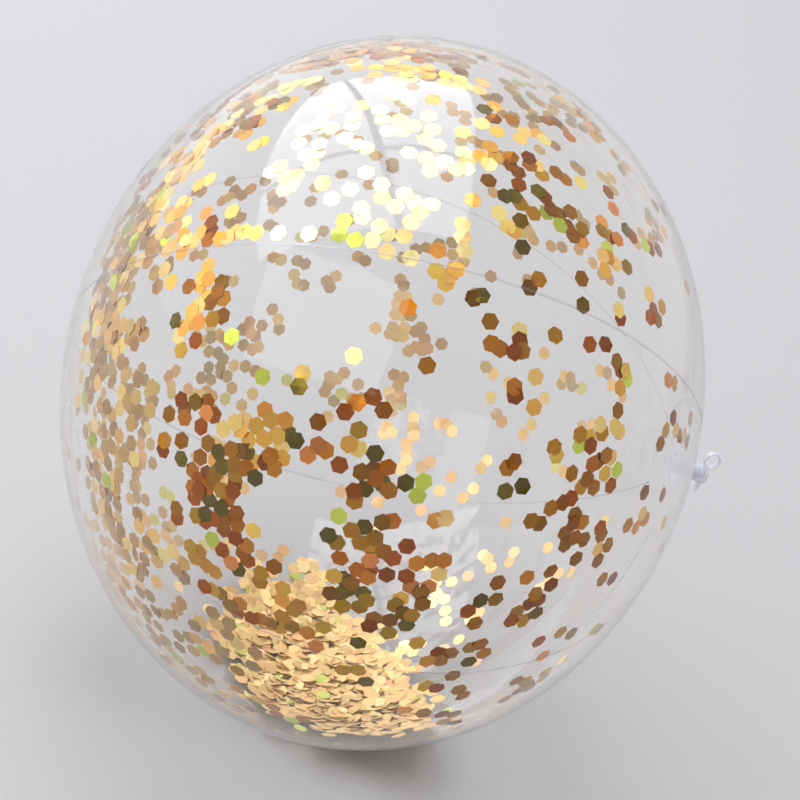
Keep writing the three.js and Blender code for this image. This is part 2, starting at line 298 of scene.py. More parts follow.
def soft_plastic(name, inner_alpha, alpha):
    """Soft clear vinyl: bluish, slightly cloudy, waxy, and clearer where it is inside the ball."""
    t = material_tree(name)
    outwards = t.add("SeparateXYZ", Vector=t.place()).outputs["X"]
    cover = t.remap(outwards, POLAR_RADIUS, POLAR_RADIUS + 6 * MM, inner_alpha, alpha)
    cloud = t.noise(420.0, 3.0, 0.55)
    colour = t.mix_colour(cloud, (0.64, 0.65, 0.78, 1), (0.77, 0.78, 0.89, 1))
    surface = t.add(
        "BsdfPrincipled",
        Base_Color=colour,
        Roughness=0.16,
        IOR=1.5,
        Alpha=cover,
        Coat_Weight=0.4,
        Normal=t.bump(t.noise(1500.0, 2.0, 0.6), 0.15, 0.1 * MM),
    )
    return t.finish(surface)


def foil(name, kept_on, metal=(0.94, 0.58), inner_metal=0.35, roughness=0.17, inner_pale=0.5):
    """Metallised foil in the colour kept on each hexagon, paler on the side towards the ball's middle. That
    side's paleness is a painted reflection: its colour is mixed towards a pale cream to stand for the
    whitish reflection of the bright room.

    `kept_on` says what keeps the colour, and `metal` how mirror-like the darkest and brightest shades are.
    """
    t = material_tree(name)
    shade = t.add("Attribute", {"attribute_type": kept_on, "attribute_name": "foil_shade"}).outputs["Color"]
    place = t.add("NewGeometry").outputs
    outward = t.vector_maths("SUBTRACT", place["Position"], CENTRE).outputs[0]
    side = t.vector_maths("DOT_PRODUCT", outward, place["Normal"]).outputs["Value"]
    inner = t.maths("LESS_THAN", side, 0.0)
    # Painted reflection: the inner side is mixed towards pale cream, by inner_pale.
    pale = t.mix_colour(inner_pale, shade, (0.95, 0.80, 0.55, 1))
    colour = t.mix_colour(inner, shade, pale)
    grain = t.noise(700.0, 3.0, 0.6)
    worn = t.remap(grain, 0.25, 0.8, 0.94, 1.05)
    grey = t.add("CombineColor", Red=worn, Green=worn, Blue=worn).outputs[0]
    shaded = t.mix_colour(1.0, colour, grey, "MULTIPLY")
    brightness = t.add("SeparateColor", Color=shade).outputs["Green"]
    outer_metal = t.remap(brightness, 0.3, 0.75, *metal)
    metallic = t.maths("MULTIPLY_ADD", inner, t.maths("SUBTRACT", inner_metal, outer_metal), outer_metal)
    surface = t.add(
        "BsdfPrincipled",
        Base_Color=shaded,
        Metallic=metallic,
        Roughness=t.remap(grain, 0.3, 0.8, roughness, roughness + 0.11),
        Normal=t.bump(t.noise(260.0, 2.0, 0.5), 0.12, 0.3 * MM),
    )
    return t.finish(surface)


def bar_paint():
    t = material_tree("bar_paint")
    colour = t.mix_colour(t.noise(3.0), (0.20, 0.17, 0.15, 1), (0.24, 0.21, 0.19, 1))
    return t.finish(t.add("BsdfPrincipled", Base_Color=colour, Roughness=0.6))


def floor_paint():
    """Pale paint with a faint cloud, paler far away where the lamps no longer reach."""
    t = material_tree("floor_paint")
    cloud = t.noise(1.4, 3.0, 0.5)
    near = t.mix_colour(cloud, (0.368, 0.368, 0.380, 1), (0.382, 0.382, 0.393, 1))
    away = t.remap(t.vector_maths("LENGTH", t.place()).outputs["Value"], 2.0, 9.0, 0.0, 1.0)
    colour = t.mix_colour(away, near, (0.78, 0.78, 0.79, 1))
    return t.finish(t.add("BsdfPrincipled", Base_Color=colour, Roughness=0.75))


FILM = thin_clear_film("clear_film", (0.985, 0.981, 0.980), 0.02, 0.05, 0.004)
WELD = thin_clear_film("weld_film", (0.92, 0.92, 0.935), 0.05, 0.14, 0.03)
CAP_WELD = thin_clear_film("cap_weld_film", (0.98, 0.98, 0.985), 0.028, 0.1, 0.01)
VINYL = soft_plastic("soft_vinyl", 0.15, 0.5)
THIN_VINYL = soft_plastic("thin_vinyl", 0.12, 0.16)
FOIL = foil("gold_foil", "GEOMETRY")
CAD_FOIL = foil("gold_foil_single", "OBJECT")
LOOSE_FOIL = foil("loose_foil", "GEOMETRY", (0.2, 0.2), 0.2, 0.45, 0.1)
BAR_PAINT = bar_paint()

# ---- the skin's surface ----

REST_SOFTNESS = 0.12 * MM  # how gently the film bends up from the flat patch it rests on
TUCK_HEIGHT = 0.28 * MM  # the small tucks beside each seam
TUCK_REACH = 9 * MM
RAY_HEIGHT = 0.45 * MM  # the tucks that run out from each end cap
RAY_START = 3 * MM
RAY_REACH = 26 * MM
SWELL_HEIGHT = 0.22 * MM  # the broad swells all over


def on_skin(turn, tilt, depth):
    """Points at a depth inside the skin's outer face, and the outward normals there, as arrays."""
    turn, tilt = np.radians(turn), np.radians(tilt)
    ring = np.cos(tilt)
    outward = np.stack([0 * turn, -np.cos(turn), np.sin(turn)], -1)
    points = outward * (EQUATOR_RADIUS * ring)[..., None]
    points[..., 0] = POLAR_RADIUS * np.sin(tilt)
    normals = outward * (ring / EQUATOR_RADIUS)[..., None]
    normals[..., 0] = np.sin(tilt) / POLAR_RADIUS
    normals /= np.linalg.norm(normals, axis=-1, keepdims=True)
    points -= normals * np.asarray(depth)[..., None]
    return points + np.array(CENTRE), normals


def rest_on_floor(points, lowest):
    """Lifts points to a lowest height, bending in smoothly, as film does where the ball rests."""
    over = (points[..., 2] - lowest) / REST_SOFTNESS
    points[..., 2] = lowest + REST_SOFTNESS * np.logaddexp(0, over)
    return points


def tilt_at_radius(radius):
    return math.degrees(math.acos(radius / EQUATOR_RADIUS))


def wavy(points, scale, seed):
    """Smooth noise from about -1 to 1 at each point."""
    shift = Vector((seed * 7.3, seed * 3.1, seed * 5.7))
    flat = points.reshape(-1, 3)
    values = [noise.noise(Vector(p) * scale + shift) for p in flat]
    return np.array(values).reshape(points.shape[:-1])


def pucker(turn, tilt):
    """How far the film stands in from its smooth shape."""
    points, _ = on_skin(turn, tilt, np.zeros_like(turn))
    pitch = 360 / GORES
    from_seam = (turn - FIRST_SEAM_TURN + pitch / 2) % pitch - pitch / 2
    ring = EQUATOR_RADIUS * np.cos(np.radians(tilt))
    seam_distance = np.abs(np.radians(from_seam)) * ring
    cap_distance = np.maximum(ring - CAP_RADIUS, 0)
    along = np.stack([tilt / 9, np.round((turn - FIRST_SEAM_TURN) / pitch), np.sign(from_seam) * 0.3], -1)
    tucks = wavy(along, 2.1, 1) * np.exp(-((seam_distance / TUCK_REACH) ** 2))
    rays = wavy(np.stack([turn / 5, np.sign(tilt), 0 * turn], -1), 1.0, 2)
    rays *= np.exp(-cap_distance / RAY_REACH) * np.clip(cap_distance / RAY_START, 0, 1)
    return np.abs(TUCK_HEIGHT * tucks + RAY_HEIGHT * rays + SWELL_HEIGHT * wavy(points, 26.0, 3))


def smooth_shade(mesh):
    mesh.polygons.foreach_set("use_smooth", [True] * len(mesh.polygons))


def turn_faces_out(mesh, merge=False):
    """Turns faces outwards, after points that lie together have become one where `merge` asks for it."""
    work = bmesh.new()
    work.from_mesh(mesh)
    if merge:
        bmesh.ops.remove_doubles(work, verts=work.verts, dist=1e-7)
    bmesh.ops.recalc_face_normals(work, faces=work.faces)
    work.to_mesh(mesh)
    work.free()


def ring_faces(rows, columns, closed):
    """Faces between rings of points, and from the last ring to the first where `closed`."""
    faces = []
    for i in range(rows if closed else rows - 1):
        n = (i + 1) % rows
        for j in range(columns):
            k = (j + 1) % columns
            faces.append((i * columns + j, i * columns + k, n * columns + k, n * columns + j))
    return faces


def tube_from_grid(name, grid, material, closed):
    """A closed tube from rings of points; a line that closes on itself needs no end faces."""
    rows, columns = grid.shape[:2]
    faces = ring_faces(rows, columns, closed)
    if not closed:
        faces.append(tuple(range(columns)))
        faces.append(tuple((rows - 1) * columns + j for j in range(columns)))
    mesh = new_mesh(name, grid.reshape(-1, 3).tolist(), faces)
    turn_faces_out(mesh)
    smooth_shade(mesh)
    return link_mesh(mesh, material)


def shell_from_grid(name, outer, inner, material, closed_across):
    """A closed thin shell from two grids of points, joined along their edges."""
    rows, columns = outer.shape[:2]
    top, low = np.arange(2 * rows * columns).reshape(2, rows, columns).tolist()
    faces = []
    last = columns if closed_across else columns - 1
    for i in range(rows - 1):
        for j in range(last):
            k = (j + 1) % columns
            faces.append((top[i][j], top[i][k], top[i + 1][k], top[i + 1][j]))
            faces.append((low[i][j], low[i + 1][j], low[i + 1][k], low[i][k]))
    for i in (0, rows - 1):
        for j in range(last):
            k = (j + 1) % columns
            faces.append((top[i][j], low[i][j], low[i][k], top[i][k]))
    if not closed_across:
        for j in (0, columns - 1):
            for i in range(rows - 1):
                faces.append((top[i][j], top[i + 1][j], low[i + 1][j], low[i][j]))
    mesh = new_mesh(name, np.stack([outer, inner]).reshape(-1, 3).tolist(), faces)
    turn_faces_out(mesh)
    smooth_shade(mesh)
    mesh.set_sharp_from_angle(angle=math.radians(50))
    return link_mesh(mesh, material)


# ---- film ----

GORE_COLUMNS = 31
GORE_ROWS = 181
SEAM_HALF_GAP = 0.05 * MM
CAP_RINGS = 26
CAP_SPOKES = 96
PLAIN_CAP_HOLE_RADIUS = 0.4 * MM
WELD_HALF_WIDTH = 0.55 * MM
WELD_HALF_HEIGHT = 0.24 * MM
WELD_SIDES = 10


def gore_grid(number):
    pitch = 360 / GORES
    start = FIRST_SEAM_TURN + (number - 1) * pitch
    share = np.linspace(0, 1, GORE_COLUMNS)
    eased = share - 0.11 * np.sin(2 * np.pi * share)  # closer together beside the seams
    edge = tilt_at_radius(CAP_RADIUS + SEAM_HALF_GAP)
    tilt = np.linspace(-edge, edge, GORE_ROWS)
    tilt, eased = np.meshgrid(tilt, eased, indexing="ij")
    margin = np.degrees(SEAM_HALF_GAP / (EQUATOR_RADIUS * np.cos(np.radians(tilt))))
    turn = start + margin + eased * (pitch - 2 * margin)
    return turn, tilt


def film_piece(name, turn, tilt, node, closed=False):
    tuck = pucker(turn, tilt)
    outer = rest_on_floor(on_skin(turn, tilt, tuck)[0], 0)
    inner = rest_on_floor(on_skin(turn, tilt, tuck + FILM_THICKNESS)[0], FILM_THICKNESS)
    piece = shell_from_grid(name, outer, inner, FILM, closed)
    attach(piece, "skin")
    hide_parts(node)


def make_film():
    for number in range(1, GORES + 1):
        film_piece(f"film_gore_{number}", *gore_grid(number), f"gore_panel_{number}")
    for name, sign, smallest, node in (
        ("film_cap_plain", -1, PLAIN_CAP_HOLE_RADIUS, "end_cap_plain"),
        ("film_cap_valve", 1, FILM_HOLE_RADIUS, "end_cap_valve"),
    ):
        radius = np.linspace(smallest, CAP_RADIUS - SEAM_HALF_GAP, CAP_RINGS)
        tilt = sign * np.degrees(np.arccos(radius / EQUATOR_RADIUS))
        turn = np.linspace(0, 360, CAP_SPOKES, endpoint=False)
        tilt, turn = np.meshgrid(tilt, turn, indexing="ij")
        film_piece(name, turn, tilt, node, closed=True)


def weld_strip(name, turn, tilt, side_turn, side_tilt, closed, material):
    """A low rounded bead along a line on the skin, given by arrays of places and of sideways steps."""
    tuck = pucker(turn, tilt)
    rings = []
    for step in range(WELD_SIDES):
        angle = 2 * math.pi * step / WELD_SIDES
        across = WELD_HALF_WIDTH * math.cos(angle)
        depth = tuck + FILM_THICKNESS / 2 - WELD_HALF_HEIGHT * math.sin(angle)
        rings.append(on_skin(turn + side_turn * across, tilt + side_tilt * across, depth)[0])
    return tube_from_grid(name, rest_on_floor(np.stack(rings, 1), 0), material, closed)


def make_welds():
    edge = tilt_at_radius(CAP_RADIUS + WELD_HALF_WIDTH)
    tilt = np.linspace(-edge, edge, GORE_ROWS)
    for number in range(1, GORES + 1):
        turn = np.full(GORE_ROWS, FIRST_SEAM_TURN + (number - 1) * 360.0 / GORES)
        side = np.degrees(1 / (EQUATOR_RADIUS * np.cos(np.radians(tilt))))
        strip = weld_strip(f"seam_weld_{number}", turn, tilt, side, 0 * side, False, WELD)
        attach(strip, "skin")
    for name, sign in (("cap_weld_plain", -1), ("cap_weld_valve", 1)):
        turn = np.linspace(0, 360, 2 * CAP_SPOKES, endpoint=False)
        tilt = np.full(len(turn), sign * tilt_at_radius(CAP_RADIUS))
        slope = math.degrees(1 / (EQUATOR_RADIUS * math.sin(math.radians(abs(tilt[0])))))
        strip = weld_strip(name, turn, tilt, 0 * turn, 0 * turn + slope, True, CAP_WELD)
        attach(strip, "skin")


# ---- valve ----

# The valve's own sizes are in millimetres. Its places along the axis count outwards from the skin's pole.
VALVE_SIDES = 72
CORNER_STEPS = 4
STEM_INNER_END = -4
STEM_OUTER_END = 11.3
STEM_BORE = 2.6
STEM_RADIUS = 4
COLLAR_RADIUS = 4.75
COLLAR_START = 10
PLUG_TOP = 13.2
ROOT_START = -1.0
ROOT_END = 5.5
ROOT_WIDE_RADIUS = 7.5
ROOT_NARROW_RADIUS = 4.15
ROOT_HALF_THICKNESS = 0.22
FLANGE_HOLE_RADIUS = 7.25
FLANGE_RADIUS = 14
FLANGE_DEPTH = 0.3  # of its face under the film's outer face
FLANGE_EDGE = 0.24
FLANGE_RIB_RADIUS = 11.4
FLANGE_RIB_HEIGHT = 0.16
STRAP_WIDTH = 3
STRAP_THICKNESS = 0.8
# The strap's middle line: outwards from the pole, and up from the axis.
STRAP_ROUTE = (
    (10.65, 4.5), (10.6, 5.6), (10.55, 7.6), (11.85, 10.1), (14.45, 10.5),
    (16.65, 8.9), (16.85, 6.3), (15.25, 4.1), (13.5, 3.3), (13.0, 3.1),
)


def softened(profile, radius, closed=True):
    """The corners of a (radius, outwards) outline, each turned into a small arc."""
    points = [np.array(p, float) for p in profile]
    rounded = []
    for i, corner in enumerate(points):
        if not closed and i in (0, len(points) - 1):
            rounded.append(corner)
            continue
        ends = []
        for neighbour in (points[i - 1], points[(i + 1) % len(points)]):
            side = neighbour - corner
            length = np.linalg.norm(side)
            ends.append(corner + side / length * min(radius, length * 0.45))
        for step in range(CORNER_STEPS + 1):
            t = step / CORNER_STEPS
            rounded.append((1 - t) ** 2 * ends[0] + 2 * t * (1 - t) * corner + t**2 * ends[1])
    return rounded


def turned_piece(name, outline, closed, material):
    """A solid of revolution about the valve's axis. An open outline starts and ends on the axis."""
    turn = np.linspace(0, 2 * math.pi, VALVE_SIDES, endpoint=False)
    rings = []
    for radius, outwards in outline:
        along = np.full(VALVE_SIDES, POLAR_RADIUS + outwards * MM)
        up = CENTRE.z + radius * MM * np.sin(turn)
        rings.append(np.stack([along, radius * MM * np.cos(turn), up], -1))
    mesh = new_mesh(name, np.concatenate(rings).tolist(), ring_faces(len(rings), VALVE_SIDES, closed))
    turn_faces_out(mesh, merge=True)
    smooth_shade(mesh)
    mesh.set_sharp_from_angle(angle=math.radians(60))
    return link_mesh(mesh, material)


def rounded_section(width, thickness, corner):
    """A rectangle with round corners, as (across, out) points, anticlockwise."""
    points = []
    for quarter, (sx, sy) in enumerate(((1, 1), (-1, 1), (-1, -1), (1, -1))):
        for step in range(CORNER_STEPS + 1):
            angle = (quarter + step / CORNER_STEPS) * math.pi / 2
            x = sx * (width / 2 - corner) + corner * math.cos(angle)
            y = sy * (thickness / 2 - corner) + corner * math.sin(angle)
            points.append((x, y))
    return points


def smooth_route(points, steps):
    """Points on a Catmull-Rom curve through the given ones."""
    points = [np.array(p, float) for p in points]
    padded = [2 * points[0] - points[1], *points, 2 * points[-1] - points[-2]]
    route = []
    for i in range(len(points) - 1):
        a, b, c, d = padded[i : i + 4]
        for step in range(steps):
            t = step / steps
            bend = (2 * a - 5 * b + 4 * c - d) * t**2 + (3 * b - a - 3 * c + d) * t**3
            route.append(0.5 * (2 * b + (c - a) * t + bend))
    route.append(points[-1])
    return route


def valve_point(outwards, across, up):
    return (POLAR_RADIUS + outwards * MM, across * MM, CENTRE.z + up * MM)


def make_strap():
    route = smooth_route(STRAP_ROUTE, 8)
    section = rounded_section(STRAP_WIDTH, STRAP_THICKNESS, 0.3)
    rings = []
    for i, (outwards, up) in enumerate(route):
        before, after = route[max(i - 1, 0)], route[min(i + 1, len(route) - 1)]
        along = (after - before) / np.linalg.norm(after - before)
        rings.append(
            [valve_point(outwards - along[1] * out, across, up + along[0] * out) for across, out in section]
        )
    strap = tube_from_grid("valve_strap_band", np.array(rings), VINYL, False)
    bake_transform(strap)
    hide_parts("valve_strap")


TAB_ROOT = 3.2
TAB_REACH = 9.4
TAB_WIDTH = 3.6
TAB_THICKNESS = 1.1
TAB_DROOP = math.radians(10)
TAB_MIDDLE = 12.4
TAB_RIBS = (5.9, 6.8, 7.7)
TAB_RIB_WIDTH = 0.22
TAB_RIB_SHARE = 0.14  # of the tab's thickness


def tab_mesh():
    """The pull tab: it reaches down from the plug's head, with a round end and three low grip ribs."""
    rings = []
    for reach in np.linspace(0, TAB_REACH - TAB_ROOT, 44):
        left = TAB_REACH - TAB_ROOT - reach
        half = TAB_WIDTH / 2
        width = 2 * math.sqrt(max(half**2 - max(half - left, 0) ** 2, 0.03))
        rib = sum(math.exp(-(((reach + TAB_ROOT - middle) / TAB_RIB_WIDTH) ** 2)) for middle in TAB_RIBS)
        thickness = min(TAB_THICKNESS * (1 - TAB_RIB_SHARE + TAB_RIB_SHARE * min(rib, 1)), width)
        corner = min(0.35, thickness * 0.45, width * 0.45)
        ring = []
        for across, out in rounded_section(width, thickness, corner):
            outwards = TAB_MIDDLE + out * math.cos(TAB_DROOP) - reach * math.sin(TAB_DROOP)
            up = -TAB_ROOT - reach * math.cos(TAB_DROOP) - out * math.sin(TAB_DROOP)
            ring.append(valve_point(outwards, across, up))
        rings.append(ring)
    return np.array(rings)


def make_plug():
    outline = softened(
        (
            (0, 6.7), (1.85, 6.7), (2.3, 7.7), (2.1, 8.8), (2.1, 11.6), (4.5, 11.6), (4.5, PLUG_TOP),
            (3.55, PLUG_TOP), (3.3, 12.95), (3.05, PLUG_TOP), (0, PLUG_TOP),
        ),
        0.3,
        closed=False,
    )
    plug = turned_piece("valve_plug_moulding", outline, False, VINYL)
    tab = tube_from_grid("pull_tab", tab_mesh(), VINYL, False)
    join = plug.modifiers.new("join", "BOOLEAN")
    join.operation = "UNION"
    join.object = tab
    graph = bpy.context.evaluated_depsgraph_get()
    joined = bpy.data.meshes.new_from_object(plug.evaluated_get(graph), depsgraph=graph)
    plug.modifiers.clear()
    plug.data = joined
    bpy.data.objects.remove(tab)
    smooth_shade(joined)
    joined.set_sharp_from_angle(angle=math.radians(40))
    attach(plug, "valve_plug")
    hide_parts("valve_plug")


def cap_height(radius):
    """How far the film's outer face lies from the pole's plane at a radius, in millimetres."""
    return POLAR_RADIUS / MM * (math.sqrt(1 - (radius * MM / EQUATOR_RADIUS) ** 2) - 1)


def make_valve():
    outline = (
        (STEM_BORE, STEM_INNER_END), (STEM_RADIUS, STEM_INNER_END), (STEM_RADIUS, COLLAR_START),
        (COLLAR_RADIUS, COLLAR_START), (COLLAR_RADIUS, STEM_OUTER_END), (STEM_BORE, STEM_OUTER_END),
    )
    stem = turned_piece("valve_stem_tube", softened(outline, 0.28), True, VINYL)
    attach(stem, "valve_stem")
    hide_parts("valve_stem")

    inner, outer = [], []
    for t in np.linspace(0, 1, 22):
        eased = t - 0.09 * math.sin(2 * math.pi * t)
        radius = ROOT_WIDE_RADIUS + (ROOT_NARROW_RADIUS - ROOT_WIDE_RADIUS) * eased
        outwards = ROOT_START + (ROOT_END - ROOT_START) * t
        inner.append((radius - ROOT_HALF_THICKNESS, outwards))
        outer.append((radius + ROOT_HALF_THICKNESS, outwards))
    root = turned_piece("valve_root_cone", softened(inner + outer[::-1], 0.12), True, THIN_VINYL)
    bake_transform(root)
    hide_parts("valve_root")

    face, back = [], []
    for radius in np.linspace(FLANGE_HOLE_RADIUS, FLANGE_RADIUS, 18):
        rib = FLANGE_RIB_HEIGHT * math.exp(-(((radius - FLANGE_RIB_RADIUS) / 0.5) ** 2))
        thickness = FLANGE_EDGE + 0.3 * min(1.0, (FLANGE_RADIUS - radius) / 1.5)
        face.append((radius, cap_height(radius) - FLANGE_DEPTH))
        back.append((radius, cap_height(radius) - FLANGE_DEPTH - thickness - rib))
    flange = turned_piece("valve_flange_ring", softened(face + back[::-1], 0.1), True, THIN_VINYL)
    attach(flange, "skin")
    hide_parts("valve_flange")

    make_plug()
    make_strap()
    paint(frame["nodes"]["valve_check_flap"], THIN_VINYL)


# ---- confetti ----

# The foil's colour from its darkest (0) to its palest (1) shade. The spread is partly the foil's own colour
# and partly painted reflection: the dark shades stand for pieces that mirror the dim room, the bright gold
# ones for glints of the lamps.
FOIL_RAMP = (
    (0.00, (0.230, 0.078, 0.000)),
    (0.30, (0.400, 0.145, 0.001)),
    (0.60, (0.660, 0.300, 0.014)),
    (0.85, (1.000, 0.590, 0.100)),
    (1.00, (1.000, 0.820, 0.360)),
)
# For each tone: its range on the ramp, how far it leans from copper (-1) to olive (1), how pale it is.
TONES = {
    # Partly painted glints: gold stands for pieces that catch the lamps' light.
    "gold": (0.70, 0.96, 0.0, 0.0),
    # Painted highlight: the pale pieces are those under the window's reflection, made pale as if washed by
    # it.
    "pale": (0.88, 1.00, 0.2, 0.1),
    "dark": (0.00, 0.50, 0.4, 0.0),
    "copper": (0.15, 0.62, -0.6, 0.0),
    "mixed": (0.08, 0.94, 0.0, 0.0),
    "brown": (0.26, 0.66, 0.2, 0.05),
    # Painted reflection: tan is paled towards PALE for the film's whitish sheen over the pieces near the
    # rim.
    "tan": (0.12, 0.92, 0.5, 0.30),
    "heap": (0.58, 0.93, 0.30, 0.30),
}
# The cream that tones are paled towards; for the pale and tan tones it is painted highlight and painted
# sheen.
PALE = (0.90, 0.74, 0.50)
LIME = (0.66, 0.76, 0.09)
ORANGE = (1.00, 0.36, 0.09)
OLIVE = (0.200, 0.145, 0.010)
RUST = (0.440, 0.100, 0.000)
# The odd pieces among each tone: their share and colour.
ODD_PIECES = {
    "lime": ((1.0, LIME),),
    "gold": ((0.03, ORANGE),),
    "dark": ((0.24, OLIVE), (0.06, RUST)),
    "copper": ((0.22, RUST), (0.06, ORANGE)),
    "mixed": ((0.035, LIME), (0.04, ORANGE), (0.06, RUST), (0.05, OLIVE)),
    "brown": ((0.10, OLIVE), (0.08, RUST), (0.03, ORANGE)),
    "tan": ((0.035, LIME),),
    "heap": ((0.035, LIME),),
}


def pick_shades(rng, tones):
    """A shade for each tone asked for."""
    stops = [stop for stop, _ in FOIL_RAMP]
    picked = []
    for tone in tones:
        chance, level, hue, glow = rng.random(), rng.random(), rng.normal(0, 0.7), rng.uniform(0.6, 1.1)
        for share, colour in ODD_PIECES.get(tone, ()):
            if chance < share:
                shade = np.array(colour) * glow
                break
            chance -= share
        else:
            lowest, highest, lean, pale_share = TONES[tone]
            level = lowest + (highest - lowest) * level
            shade = np.array([np.interp(level, stops, [c[i] for _, c in FOIL_RAMP]) for i in range(3)])
            lean = float(np.clip(lean + hue, -1.4, 1.4)) * (1 - 0.6 * level)
            shade *= (1 - 0.10 * lean, 1 + 0.22 * lean, 1 + 0.25 * max(lean, 0))
            # Paled towards PALE: for the tan and pale tones this is painted sheen and painted highlight.
            shade += pale_share * (np.array(PALE) - shade)
        picked.append(np.clip(shade, 0, 1))
    return np.array(picked)


LARGEST_CURL = 0.12


def hexagons(name, points, normals, spins, shades, rng, lean, material):
    """One mesh of thin hexagonal plates, each with its own place, direction, lean and shade."""
    vertices, faces, colours = [], [], []
    for point, normal, spin, shade, tip in zip(points, normals, spins, shades, lean):
        normal = Vector(normal)
        side = normal.orthogonal().normalized()
        tipped = Matrix.Rotation(tip[0], 3, side) @ Matrix.Rotation(tip[1], 3, normal.cross(side))
        normal = tipped @ normal
        side = Matrix.Rotation(spin, 3, normal) @ (tipped @ side)
        other = normal.cross(side)
        curl = rng.uniform(-LARGEST_CURL, LARGEST_CURL) * MM
        first = len(vertices)
        for height in (0.5, -0.5):
            for corner in range(6):
                angle = corner * math.pi / 3
                bent = curl * math.cos(2 * angle)
                vertices.append(
                    Vector(point)
                    + side * (HEXAGON_CORNER * math.cos(angle))
                    + other * (HEXAGON_CORNER * math.sin(angle))
                    + normal * (height * FOIL_THICKNESS + bent)
                )
            vertices.append(Vector(point) + normal * height * FOIL_THICKNESS)
        for corner in range(6):
            after = (corner + 1) % 6
            faces.append((first + 6, first + corner, first + after))
            faces.append((first + 13, first + 7 + after, first + 7 + corner))
            faces.append((first + corner, first + 7 + corner, first + 7 + after, first + after))
        colours.extend([(*shade, 1.0)] * 18)
    mesh = new_mesh(name, vertices, faces)
    attribute = mesh.attributes.new("foil_shade", "FLOAT_COLOR", "FACE")
    attribute.data.foreach_set("color", np.array(colours, np.float32).ravel())
    return link_mesh(mesh, material)


# P, the pale tone, marks the pieces with the window's highlight painted on them.
G, P, L, M, T = "gold", "pale", "lime", "mixed", "tan"
D, C, B = "dark", "copper", "brown"
